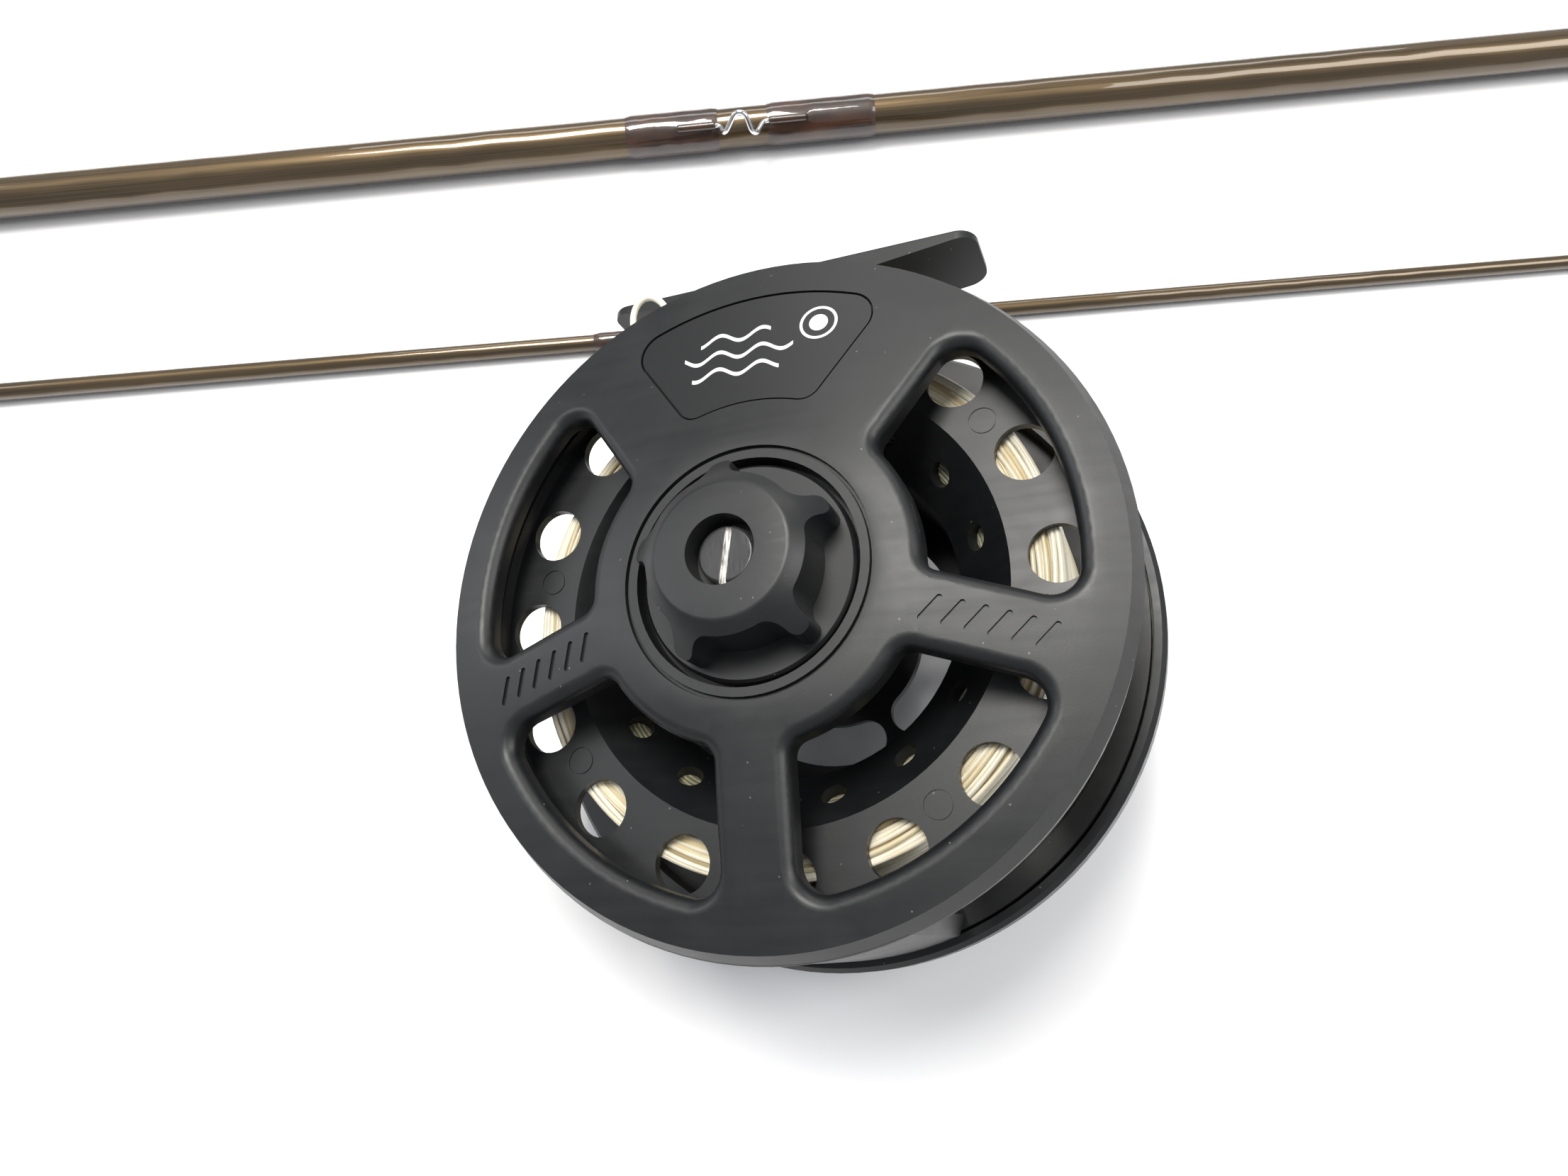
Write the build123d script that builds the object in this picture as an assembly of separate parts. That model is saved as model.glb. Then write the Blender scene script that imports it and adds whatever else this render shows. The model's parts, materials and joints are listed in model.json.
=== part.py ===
from build123d import *
from math import atan2, cos, degrees, hypot, radians, sin
import os

# ---------------------------------------------------------------------------
# Fly rod in four sections with its large-arbor fly reel, laid out on a bench.
# Millimetres. +Z up, X along the rod sections, -Y is the reel's side.
# The reel has its own frame: +Z out of the back plate, +Y through the foot.
# ---------------------------------------------------------------------------

# --- how the reel lies: on the edge of its front rim and on its handle
REEL_HEIGHT = 50.714           # back plate origin above the bench
REEL_LEAN = 17.1               # reel axis from the vertical
REEL_LEAN_HEADING = 175.4      # compass direction of the lean, from +X
REEL_FOOT_HEADING = 87.15      # compass direction of the foot, from +X

# --- fits
RUN = 0.05                     # radial clearance of a running fit

# --- reel frame: back plate, pillars, front ring
LIP_RADIUS = 50.0
LIP_Z = -3.3
FACE_EDGE_RADIUS = 48.7
FACE_EDGE_Z = -0.3
DOME_TOP_RADIUS = 19.0
DOME_RISE = 4.2
DOME_BULGE = 0.15
PLATE_THICKNESS = 3.0
SKIRT_INNER = 46.35
SKIRT_OUTER = 49.6
SKIRT_BOTTOM = -7.0
HUB_OPENING = 15.96
HUB_FLOOR_TOP = 0.8
HUB_FLOOR_BOTTOM = -1.4
CUP_INNER = 13.2
CUP_OUTER = 15.4
CUP_BOTTOM = -8.0
SPOKES = 5
SPOKE_PITCH = 360 / SPOKES
SPOKE_START = -18.0            # spokes stand at this angle plus the pitch
SPOKE_WALL = 10.4              # spoke width at the straight window walls
SPOKE_GROOVES = 6              # slanted grooves on each side spoke
SPOKE_GROOVE_PITCH = 2.9
SPOKE_GROOVE_INNER = 25.6
WINDOW_INNER = 23.6
WINDOW_OUTER = 42.6
WINDOW_ROLL = 1.9              # rolled edge of each window
PILLAR_INNER = 46.3
PILLAR_OUTER = 49.9
FOOT_PILLAR_HALF_ANGLE = 14.0
LOW_PILLAR_HALF_ANGLE = 24.0
RING_INNER = 46.2
RING_OUTER = 49.3
RING_BOTTOM = -35.5
RING_TOP = -31.5
PILLAR_STEP_Z = -31.9          # pillars step in here to pass under the spool rim

# --- name-badge inset of the back plate
BADGE_INNER = 25.0
BADGE_OUTER = 43.5
BADGE_SIDE_GAP = 6.2           # badge side to the spoke centre line
BADGE_GROOVE = 0.3
BADGE_DEPTH = 1.0
BADGE_SINK = 0.15

# --- reel foot
FOOT_FACE_Y = 57.0
FOOT_SEAT_Y = 49.0
FOOT_HALF_LENGTH = 31.4
FOOT_SHIFT = -0.5
FOOT_WIDTH = 13.5
FOOT_Z = -19.7
FOOT_TIP_THICKNESS = 1.3
FOOT_ROOT_THICKNESS = 3.8
FOOT_ROOT_HALF = 9.2
FOOT_CORNER = 3.2
FOOT_SCREW_SPACING = 10.0
FOOT_SCREW_RADIUS = 1.2
FOOT_SCREW_HEAD_RADIUS = 2.3

# --- spool
REAR_FLANGE_TOP = -7.95
REAR_FLANGE_BOTTOM = -9.35
REAR_FLANGE_RADIUS = 45.9
REAR_FLANGE_RIM = 1.6          # height of the raised rim round the rear flange
ARBOR_MOUTH = 33.0             # where the rear flange turns down into the arbor
ARBOR_THROAT = 24.8
ARBOR_THROAT_Z = -16.2
ARBOR_WALL = 1.4
FRONT_FLANGE_TOP = -35.9
FRONT_FLANGE_BOTTOM = -37.4
RIM_OUTER = 51.5
RIM_INNER = 49.7
RIM_TOP = -32.6
FLANGE_HOLES = 16
FLANGE_HOLE_RADIUS = 4.1
FLANGE_HOLE_CIRCLE = 39.43
FLANGE_HOLE_START = 1.3
ARBOR_HOLE_RADIUS = 1.9
ARBOR_HOLE_CIRCLE = 28.6
MOULD_MARKS = 8
MOULD_MARK_RADIUS = 2.0
MOULD_MARK_CIRCLE = 37.57
HUB_TUBE_RADIUS = 10.5
HUB_TUBE_TOP = -11.0
HUB_STEP_Z = -20.0             # the hub's bore narrows here from the sleeve to the bush
BUSH_OUTER = 5.0
WEB_SLOTS = 5
WEB_SLOT_CIRCLE = 17.2
WEB_SLOT_WIDTH = 6.4
BACKING_RADIUS = 33.0
LINE_RADIUS = 40.0

# --- drag, spindle and clicker
SPINDLE_RADIUS = 3.0
SPINDLE_TOP = 6.9
SPINDLE_BOTTOM = -40.2
NECK_TOP = -38.35
NECK_BOTTOM = -39.5
NECK_RADIUS = 2.2
WASHER_OUTER = 12.7
PRESSURE_PLATE_TOP = -5.4
PRESSURE_PLATE_BOTTOM = -6.45
RETAINING_GROOVE_DEPTH = 0.7
CLUTCH_TOP = -5.0
CLUTCH_BOTTOM = -18.0
DISC_THICKNESS = 1.2
DISC_TOP = -2.95
SLEEVE_OUTER = 7.8
SLEEVE_INNER = 6.05
SLEEVE_BOTTOM = -19.4
GEAR_RADIUS = 10.4
GEAR_TOP = -8.3
GEAR_THICKNESS = 1.3
GEAR_TEETH = 30
PAWL_CIRCLE = 18.6
PAWL_PIN_RADIUS = 1.2
PAWL_ANGLE = 54.0

# --- drag knob
KNOB_BASE_RADIUS = 15.2
KNOB_BASE_BOTTOM = 1.1
KNOB_BASE_TOP = 3.5
KNOB_BODY_RADIUS = 11.0
KNOB_TOP = 12.67
KNOB_TOP_RADIUS = 8.9
KNOB_SHOULDER = 8.0            # height of the lugs at their tips
KNOB_LUGS = 5
KNOB_LUG_RADIUS = 14.3
KNOB_LUG_WIDTH = 3.0
KNOB_LUG_START = 96.5
KNOB_BORE = 4.75
KNOB_BORE_FLOOR = 8.6
KNOB_CAVITY = 8.6
KNOB_CAVITY_TOP = 7.0
SLOT_ANGLE = -97.0

# --- handle and counterweight
HANDLE_CIRCLE = 38.0
HANDLE_ANGLE = -7.0
HANDLE_TIP = -63.16
HANDLE_BASE = -39.6
HANDLE_POST_RADIUS = 2.5
HANDLE_BOSS_RADIUS = 5.6
COUNTERWEIGHT_CIRCLE = 35.5
COUNTERWEIGHT_RADIUS = 5.0
COUNTERWEIGHT_STUD_RADIUS = 2.0

# --- spool cap and latch
CAP_RADIUS = 10.6
CAP_BOTTOM = -41.4
CAP_WALL = 1.3
LATCH_ANGLE = 60.0
LATCH_TRAVEL = 1.5
LATCH_THICKNESS = 0.8
LATCH_WIDTH = 8.0

# --- loop of line that stands out past the back plate's edge
LINE_DIAMETER = 1.1
LOOP_ROUTE = [(-14.6, 38.9, -14.2), (-15.8, 43.0, -12.6), (-17.2, 46.9, -10.4),
              (-18.6, 50.5, -8.9), (-19.9, 53.0, -8.3), (-22.1, 54.2, -8.0),
              (-24.3, 53.1, -8.1), (-25.3, 50.4, -8.7), (-24.6, 46.2, -10.0),
              (-23.2, 41.8, -12.2), (-21.4, 37.6, -14.2)]

# --- rod sections: blank diameters at thick and thin end, places of the guides
SECTION_LENGTH = 710.0
BLANK_WALL = 0.38
BUTT_DIAMETERS = (10.6, 7.85)
LOWER_MID_DIAMETERS = (8.65, 7.05)
UPPER_MID_DIAMETERS = (7.8, 3.25)
TIP_DIAMETERS = (4.0, 2.05)
LOWER_MID_START = (-330.0, 113.9)     # thick end, X and Y
TIP_START = (-345.0, 70.0)
TIP_HEADING = -0.39
UPPER_MID_START = (-338.0, 184.0)
BUTT_START = (-345.0, 222.0)
FERRULE_WRAP = 32.0
SOCKET_DEPTH = 32.0
WRAP_THICKNESS = 0.3
GUIDE_GAP = 9.0                # between the feet of a full-size snake guide
GUIDE_ANGLE = 30.0             # guides lie over towards the reel by this turn of the blank
LOWER_MID_GUIDES = (330, 600)
LOWER_MID_GUIDE_SIZES = (1.0, 0.95)
UPPER_MID_GUIDES = (130, 340, 535)
UPPER_MID_GUIDE_SIZES = (0.9, 0.82, 0.75)
TIP_GUIDES = (123, 327, 516, 646)
TIP_GUIDE_SIZES = (0.62, 0.58, 0.54, 0.5)
TIP_RING_RADIUS = 3.0

# --- grip and reel seat on the butt section (distances from the butt's end)
GRIP_START = 116.0
GRIP_LENGTH = 170.0
GRIP_RADIUS = 12.8
BARREL_RADIUS = 8.5
THREAD_START = 8.0
THREAD_END = 46.0
THREAD_PITCH = 1.5
THREAD_DEPTH = 0.35
FIXED_HOOD = (97.0, 115.0)
SLIDING_HOOD = (27.0, 43.0)
LOCK_NUT = (19.0, 26.6)
LOCK_NUT_RADIUS = 11.7
LOCK_NUT_GROOVES = 24
HOOD_RADIUS = 10.3
HOOD_POCKET = (14.4, 4.3)      # width and height of the space for a reel foot
BUTT_CAP_LENGTH = 12.0
BUTT_CAP_RADIUS = 11.0
GRIP_SAG = 0.09                # the grip's swell reaches this much below its nominal radius
STRIPPING_GUIDE_AT = 600.0
STRIPPING_GUIDE_REACH = 20.0   # from its centre to the ends of its feet
STRIPPING_GUIDE_WIRE = 1.2
STRIPPING_GUIDE_RISE = 9.5     # ring centre above the feet
GUIDE_RING_RADIUS = 5.2        # outside of the ceramic ring
HOOK_KEEPER_AT = 312.0


# ---------------------------------------------------------------------------
# helpers
# ---------------------------------------------------------------------------
def turned(points, angle=360):
    """Solid of revolution about Z from (radius, height) points."""
    return revolve(Plane.XZ * make_face(Polyline(*points, close=True)), Axis.Z, angle)


def ring(inner, outer, bottom, top):
    """Plain ring or, with inner = 0, a disc."""
    return turned([(inner, bottom), (outer, bottom), (outer, top), (inner, top)])


def turned_along(points):
    """Solid of revolution about X from (distance, radius) points."""
    return revolve(make_face(Polyline(*points, close=True)), Axis.X)


def collar(start, end, inner, outer):
    """Ring about X."""
    return turned_along([(start, inner), (end, inner), (end, outer), (start, outer)])


def prism(sketch, bottom, top):
    """Sketch on the XY plane raised between two heights."""
    return Pos(0, 0, bottom) * extrude(sketch, top - bottom)


def wire(route, radii, thickness):
    """Round wire along straight runs and tangent arcs."""
    path = FilletPolyline(*route, radius=radii)
    start = Plane(origin=path @ 0, z_dir=path % 0)
    return sweep(start * Circle(thickness / 2), path=path)


def on_circle(radius, angle):
    return radius * cos(radians(angle)), radius * sin(radians(angle))


def bend_radii(route):
    """Largest arc that the two runs beside each corner leave room for."""
    radii = []
    for before, here, after in zip(route, route[1:], route[2:]):
        run_in = Vector(*here) - Vector(*before)
        run_out = Vector(*after) - Vector(*here)
        half_turn = radians(run_in.get_angle(run_out)) / 2
        shorter = min(run_in.length, run_out.length)
        radii.append(0.45 * shorter / (sin(half_turn) / cos(half_turn)))
    return radii


def spring(radius, height, turns, thickness):
    """Helical spring standing on the XY plane."""
    path = Helix(pitch=height / turns, height=height, radius=radius)
    start = Plane(origin=path @ 0, z_dir=path % 0)
    return sweep(start * Circle(thickness / 2), path=path)


def by_radius(points):
    return points.sort_by(lambda item: hypot(item.center().X, item.center().Y))


def between_spokes(inner, outer, gap, outer_corner, inner_corner):
    """Rounded faces between the five spokes, keyed by the angle of their middle."""
    band = Circle(outer) - Circle(inner)
    for index in range(SPOKES):
        strip = Pos(outer / 2, 0) * Rectangle(outer + 2, gap)
        band -= Rot(0, 0, SPOKE_START + index * SPOKE_PITCH) * (Pos(1, 0) * strip)
    faces = {}
    for face in band.faces():
        middle = face.center()
        shape = Face(face.outer_wire())
        shape = fillet(by_radius(shape.vertices())[-2:], outer_corner)
        shape = fillet(by_radius(shape.vertices())[:2], inner_corner)
        faces[round(degrees(atan2(middle.Y, middle.X)))] = shape
    return faces


def dome_arc(drop=0.0):
    """Line of the back plate's face from the hub to its edge, lowered by drop."""
    middle = ((DOME_TOP_RADIUS + FACE_EDGE_RADIUS) / 2,
              (DOME_RISE + FACE_EDGE_Z) / 2 + DOME_BULGE - drop)
    return ThreePointArc((DOME_TOP_RADIUS, DOME_RISE - drop), middle,
                         (FACE_EDGE_RADIUS, FACE_EDGE_Z - drop))


def under_dome(drop):
    """Everything below the back plate's face, lowered by drop."""
    top, edge = DOME_RISE - drop, FACE_EDGE_Z - drop
    rest = Polyline((FACE_EDGE_RADIUS, edge), (LIP_RADIUS + 5, edge), (LIP_RADIUS + 5, -20),
                    (0, -20), (0, top), (DOME_TOP_RADIUS, top))
    return revolve(Plane.XZ * make_face(dome_arc(drop) + rest), Axis.Z)


# ---------------------------------------------------------------------------
# reel: frame, badge, foot
# ---------------------------------------------------------------------------
def back_plate():
    """Domed plate with lip, skirt, hub recess and drag cup, before the windows."""
    rest = Polyline(
        (FACE_EDGE_RADIUS, FACE_EDGE_Z), (LIP_RADIUS, LIP_Z), (SKIRT_OUTER, LIP_Z - 0.6),
        (SKIRT_OUTER, SKIRT_BOTTOM), (SKIRT_INNER, SKIRT_BOTTOM), (SKIRT_INNER, -PLATE_THICKNESS),
        (44.0, -PLATE_THICKNESS), (22.0, -0.4), (17.6, HUB_FLOOR_BOTTOM),
        (CUP_OUTER, HUB_FLOOR_BOTTOM), (CUP_OUTER, CUP_BOTTOM), (CUP_INNER, CUP_BOTTOM),
        (CUP_INNER, HUB_FLOOR_BOTTOM), (SPINDLE_RADIUS, HUB_FLOOR_BOTTOM),
        (SPINDLE_RADIUS, HUB_FLOOR_TOP), (HUB_OPENING, HUB_FLOOR_TOP), (HUB_OPENING, DOME_RISE),
        (17.2, DOME_RISE), (17.3, DOME_RISE - 0.7), (17.7, DOME_RISE - 0.7), (17.8, DOME_RISE),
        (DOME_TOP_RADIUS, DOME_RISE))
    plate = revolve(Plane.XZ * make_face(dome_arc() + rest), Axis.Z)
    return Rot(0, 0, SPOKE_START) * plate


def rolled_windows(plate):
    """Cut the four windows and roll the edges of the plate's face."""
    windows = between_spokes(WINDOW_INNER, WINDOW_OUTER, SPOKE_WALL, 3.6, 2.2)
    cutters = [prism(shape, -10, 10) for angle, shape in windows.items() if angle != 90]
    cut = plate - cutters
    face_edges = []
    for edge in new_edges(plate, *cutters, combined=cut):
        middle = edge.position_at(0.5)
        share = (FACE_EDGE_RADIUS - hypot(middle.X, middle.Y)) / (FACE_EDGE_RADIUS - DOME_TOP_RADIUS)
        if middle.Z > FACE_EDGE_Z + share * (DOME_RISE - FACE_EDGE_Z) - 1:
            face_edges.append(edge)
    return fillet(face_edges, WINDOW_ROLL)


def pillar(angle, half_angle, bevel):
    """Post between back plate and front ring, bevelled at its two sides."""
    reach = LIP_RADIUS * 1.5
    wedge = make_face(Polyline(
        (0, 0), (reach * cos(radians(half_angle)), -reach * sin(radians(half_angle))), (reach, 0),
        (reach * cos(radians(half_angle)), reach * sin(radians(half_angle))), close=True))
    section = (Circle(PILLAR_OUTER) - Circle(PILLAR_INNER)) & wedge
    section = chamfer(by_radius(section.vertices())[-2:], bevel)
    post = prism(section, (RING_TOP + RING_BOTTOM) / 2, -PLATE_THICKNESS)
    post -= ring(RING_OUTER, LIP_RADIUS + 5, RING_BOTTOM - 1, PILLAR_STEP_Z)
    return Rot(0, 0, angle) * post


def spoke_grooves():
    """Row of slanted grooves along the two side spokes."""
    bars = Sketch()
    for angle in (SPOKE_START, 180 - SPOKE_START):
        for index in range(SPOKE_GROOVES):
            place = Pos(SPOKE_GROOVE_INNER + SPOKE_GROOVE_PITCH * index, 0)
            bar = place * Rot(0, 0, 62) * SlotOverall(4.2, 0.8)
            bars += Rot(0, 0, angle) * bar
    return prism(bars, -5, 8) - under_dome(0.35)


def badge_outline(inset):
    return between_spokes(BADGE_INNER + inset, BADGE_OUTER - inset, 2 * (BADGE_SIDE_GAP + inset),
                          4.0 - inset, 3.0 - inset)[90]


def foot_screw_places():
    return [(side * FOOT_SCREW_SPACING / 2, FOOT_Z) for side in (-1, 1)]


def reel_frame():
    body = rolled_windows(back_plate())
    body += ring(RING_INNER, RING_OUTER, RING_BOTTOM, RING_TOP)
    body += pillar(90, FOOT_PILLAR_HALF_ANGLE, 1.2)
    body += pillar(270, LOW_PILLAR_HALF_ANGLE, 2.2)
    body -= prism(badge_outline(0), -5, 8) - under_dome(BADGE_DEPTH)
    body -= spoke_grooves()
    body -= Pos(0, FOOT_SEAT_Y + 5, FOOT_Z) * Box(2 * FOOT_ROOT_HALF + 0.4, 10, FOOT_WIDTH + 0.4)
    for x, z in foot_screw_places():
        body -= Pos(x, 48, z) * Rot(90, 0, 0) * Cylinder(FOOT_SCREW_RADIUS, 6)
    body -= Rot(0, 0, PAWL_ANGLE) * Pos(PAWL_CIRCLE, 0, -1) * Cylinder(PAWL_PIN_RADIUS, 5)
    body -= ring(CUP_INNER, CUP_INNER + RETAINING_GROOVE_DEPTH, -7.3, PRESSURE_PLATE_BOTTOM)
    return body


def reel_badge():
    outline = badge_outline(BADGE_GROOVE)
    return (prism(outline, -5, 8) & under_dome(BADGE_SINK)) - under_dome(BADGE_DEPTH)


def reel_foot():
    """Flat-topped foot: thin ends, thick root on the pillar, rounded corners in plan."""
    left, right = FOOT_SHIFT - FOOT_HALF_LENGTH, FOOT_SHIFT + FOOT_HALF_LENGTH
    tip_y = FOOT_FACE_Y - FOOT_TIP_THICKNESS
    root_y = FOOT_FACE_Y - FOOT_ROOT_THICKNESS
    side = make_face(Polyline(
        (left, FOOT_FACE_Y), (left, tip_y), (-FOOT_ROOT_HALF, root_y), (-FOOT_ROOT_HALF, FOOT_SEAT_Y),
        (FOOT_ROOT_HALF, FOOT_SEAT_Y), (FOOT_ROOT_HALF, root_y), (right, tip_y),
        (right, FOOT_FACE_Y), close=True))
    body = Pos(0, 0, FOOT_Z) * extrude(side, FOOT_WIDTH / 2, both=True)
    corners = [e for e in body.edges().filter_by(Axis.Y) if abs(e.center().X) > 20]
    body = fillet(corners, FOOT_CORNER)
    top = [e for e in body.edges() if abs(e.center().Y - FOOT_FACE_Y) < 0.01]
    body = fillet(top, 0.45)
    for x, z in foot_screw_places():
        body -= Pos(x, 53, z) * Rot(90, 0, 0) * Cylinder(FOOT_SCREW_RADIUS, 12)
        sink = Pos(0, 0, -1) * Cone(FOOT_SCREW_RADIUS, FOOT_SCREW_HEAD_RADIUS + 0.2, 2)
        body -= Pos(x, FOOT_FACE_Y, z) * Rot(-90, 0, 0) * sink
    return body


def foot_screws():
    screws = []
    for x, z in foot_screw_places():
        shank = Pos(x, 51.6, z) * Rot(90, 0, 0) * Cylinder(FOOT_SCREW_RADIUS, 9.2)
        head = Pos(0, 0, -1.1) * Cone(FOOT_SCREW_RADIUS, FOOT_SCREW_HEAD_RADIUS, 1.8)
        screw = shank + Pos(x, FOOT_FACE_Y, z) * Rot(-90, 0, 0) * head
        for turn in (0, 90):
            screw -= Pos(x, FOOT_FACE_Y, z) * Rot(0, turn, 0) * Box(2.6, 1.4, 0.6)
        screws.append(screw)
    return Compound(screws)


# ---------------------------------------------------------------------------
# reel: spindle, drag stack, clicker
# ---------------------------------------------------------------------------
def spindle():
    body = turned([
        (0, SPINDLE_BOTTOM), (SPINDLE_RADIUS - 0.5, SPINDLE_BOTTOM),
        (SPINDLE_RADIUS, SPINDLE_BOTTOM + 0.4), (SPINDLE_RADIUS, NECK_BOTTOM),
        (NECK_RADIUS, NECK_BOTTOM), (NECK_RADIUS, NECK_TOP), (SPINDLE_RADIUS, NECK_TOP),
        (SPINDLE_RADIUS, HUB_FLOOR_TOP), (4.4, HUB_FLOOR_TOP), (4.4, HUB_FLOOR_TOP + 0.7),
        (SPINDLE_RADIUS, HUB_FLOOR_TOP + 0.7), (SPINDLE_RADIUS, SPINDLE_TOP), (0, SPINDLE_TOP)])
    return body - Pos(0, 0, SPINDLE_TOP - 2.5) * Cylinder(1.5, 5)


def drag_washer_rear():
    return ring(4.2, WASHER_OUTER, DISC_TOP + RUN, HUB_FLOOR_BOTTOM)


def drag_disc():
    """Steel disc with the sleeve that carries the one-way clutch."""
    disc = ring(SLEEVE_INNER, WASHER_OUTER, DISC_TOP - DISC_THICKNESS, DISC_TOP)
    return disc + ring(SLEEVE_INNER, SLEEVE_OUTER, SLEEVE_BOTTOM, DISC_TOP)


def drag_washer_front():
    top = DISC_TOP - DISC_THICKNESS - RUN
    return ring(SLEEVE_OUTER + 0.4, WASHER_OUTER, PRESSURE_PLATE_TOP, top)


def pressure_plate():
    return ring(SLEEVE_OUTER + 0.4, CUP_INNER, PRESSURE_PLATE_BOTTOM, PRESSURE_PLATE_TOP)


def retaining_ring():
    """Open ring sprung into the groove of the drag cup."""
    outer = CUP_INNER + RETAINING_GROOVE_DEPTH
    body = ring(CUP_INNER - 1.3, outer, PRESSURE_PLATE_BOTTOM - 0.8, PRESSURE_PLATE_BOTTOM)
    return body - Pos(CUP_INNER, 0, -7) * Box(4, 3, 3)


def one_way_clutch():
    return ring(SPINDLE_RADIUS + RUN, SLEEVE_INNER, CLUTCH_BOTTOM, CLUTCH_TOP)


def clicker_gear():
    gear = Circle(GEAR_RADIUS) - Circle(SLEEVE_OUTER)
    for index in range(GEAR_TEETH):
        notch = Pos(GEAR_RADIUS + 0.15, 0) * Rot(0, 0, 45) * Rectangle(1.0, 1.0)
        gear -= Rot(0, 0, index * 360 / GEAR_TEETH) * notch
    return prism(gear, GEAR_TOP - GEAR_THICKNESS, GEAR_TOP)


def at_pawl(shape):
    return Rot(0, 0, PAWL_ANGLE) * Pos(PAWL_CIRCLE, 0, 0) * shape


def clicker_pin():
    shaft = ring(0, PAWL_PIN_RADIUS, -10.4, 1.4)
    return at_pawl(shaft + ring(0, 2.0, -10.4, -9.8))


def clicker_pawl():
    """Pointed pawl whose tip stands just off the clicker gear's teeth."""
    reach = PAWL_CIRCLE - GEAR_RADIUS - 0.25
    nose = make_face(Polyline((-reach, 0), (-reach + 1.4, -0.9), (0, -1.9), (3.4, -1.1),
                              (3.4, 1.1), (0, 1.9), (-reach + 1.4, 0.9), close=True))
    plate = nose + Circle(2.3) - Circle(PAWL_PIN_RADIUS + RUN)
    return at_pawl(prism(plate, GEAR_TOP - GEAR_THICKNESS, GEAR_TOP))


def clicker_spring():
    """Hairpin spring round the pin, above the pawl, with two legs."""
    coil = ring(PAWL_PIN_RADIUS, PAWL_PIN_RADIUS + 0.6, -7.9, -6.7)
    legs = Pos(0, 3.6, -7.6) * Box(0.5, 4.6, 0.5) + Pos(0, -3.6, -7.0) * Box(0.5, 4.6, 0.5)
    return at_pawl(coil + legs)


# ---------------------------------------------------------------------------
# reel: drag knob
# ---------------------------------------------------------------------------
def drag_knob():
    star = Circle(KNOB_BODY_RADIUS)
    for index in range(KNOB_LUGS):
        lug = Pos(KNOB_LUG_RADIUS / 2, 0) * Rectangle(KNOB_LUG_RADIUS, KNOB_LUG_WIDTH)
        star += Rot(0, 0, KNOB_LUG_START + index * 360 / KNOB_LUGS) * lug
    roots = [v for v in star.vertices() if hypot(v.X, v.Y) < KNOB_BODY_RADIUS + 0.1]
    star = fillet(roots, 2.6)
    tips = [v for v in star.vertices() if hypot(v.X, v.Y) > KNOB_LUG_RADIUS - 0.05]
    star = fillet(tips, 1.25)
    envelope = turned([
        (0, KNOB_BASE_TOP - 1), (16, KNOB_BASE_TOP - 1), (16, 6.2), (KNOB_LUG_RADIUS, KNOB_SHOULDER),
        (13.2, 9.2), (12.0, 10.4), (11.0, 11.3), (10.2, 11.9), (KNOB_TOP_RADIUS + 0.6, 12.4),
        (KNOB_TOP_RADIUS, KNOB_TOP), (0, KNOB_TOP)])
    body = prism(star, KNOB_BASE_TOP - 0.3, KNOB_TOP + 1) & envelope
    body += turned([(0, KNOB_BASE_BOTTOM), (KNOB_BASE_RADIUS, KNOB_BASE_BOTTOM),
                    (KNOB_BASE_RADIUS, KNOB_BASE_TOP - 0.4), (KNOB_BASE_RADIUS - 0.4, KNOB_BASE_TOP),
                    (0, KNOB_BASE_TOP)])
    body -= ring(0, KNOB_BORE, KNOB_BORE_FLOOR, KNOB_TOP + 1)
    body -= ring(0, 1.8, KNOB_CAVITY_TOP - 1, KNOB_BORE_FLOOR + 1)
    body -= ring(0, KNOB_CAVITY, KNOB_BASE_BOTTOM - 1, KNOB_CAVITY_TOP)
    return body


def drag_nut():
    """Brass hexagon keyed under the knob and threaded on the spindle."""
    hexagon = RegularPolygon(6.9, 6) - Circle(SPINDLE_RADIUS + RUN)
    return prism(hexagon, 5.2, 6.95)


def knob_screw():
    head_top = KNOB_TOP - 2.0
    body = ring(0, 3.9, KNOB_BORE_FLOOR + RUN, head_top) + ring(0, 1.45, 3.4, KNOB_BORE_FLOOR + 0.5)
    body = fillet([e for e in body.edges() if abs(e.center().Z - head_top) < 0.01], 0.5)
    return body - Pos(0, 0, head_top) * Rot(0, 0, SLOT_ANGLE) * Box(9, 1.0, 1.6)


def drag_spring():
    return Pos(0, 0, HUB_FLOOR_TOP + 0.4) * spring(5.6, 3.5, 3, 0.7)


# ---------------------------------------------------------------------------
# reel: spool, line, cap, latch
# ---------------------------------------------------------------------------
def arbor_points():
    """Line side of the arbor, from the rear flange to the front flange."""
    wall = ARBOR_WALL
    return [(ARBOR_MOUTH + wall * 1.1, REAR_FLANGE_BOTTOM), (ARBOR_THROAT + wall, ARBOR_THROAT_Z - 0.8),
            (ARBOR_THROAT + wall, -29.0), (ARBOR_MOUTH - 2, FRONT_FLANGE_TOP)]


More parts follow.
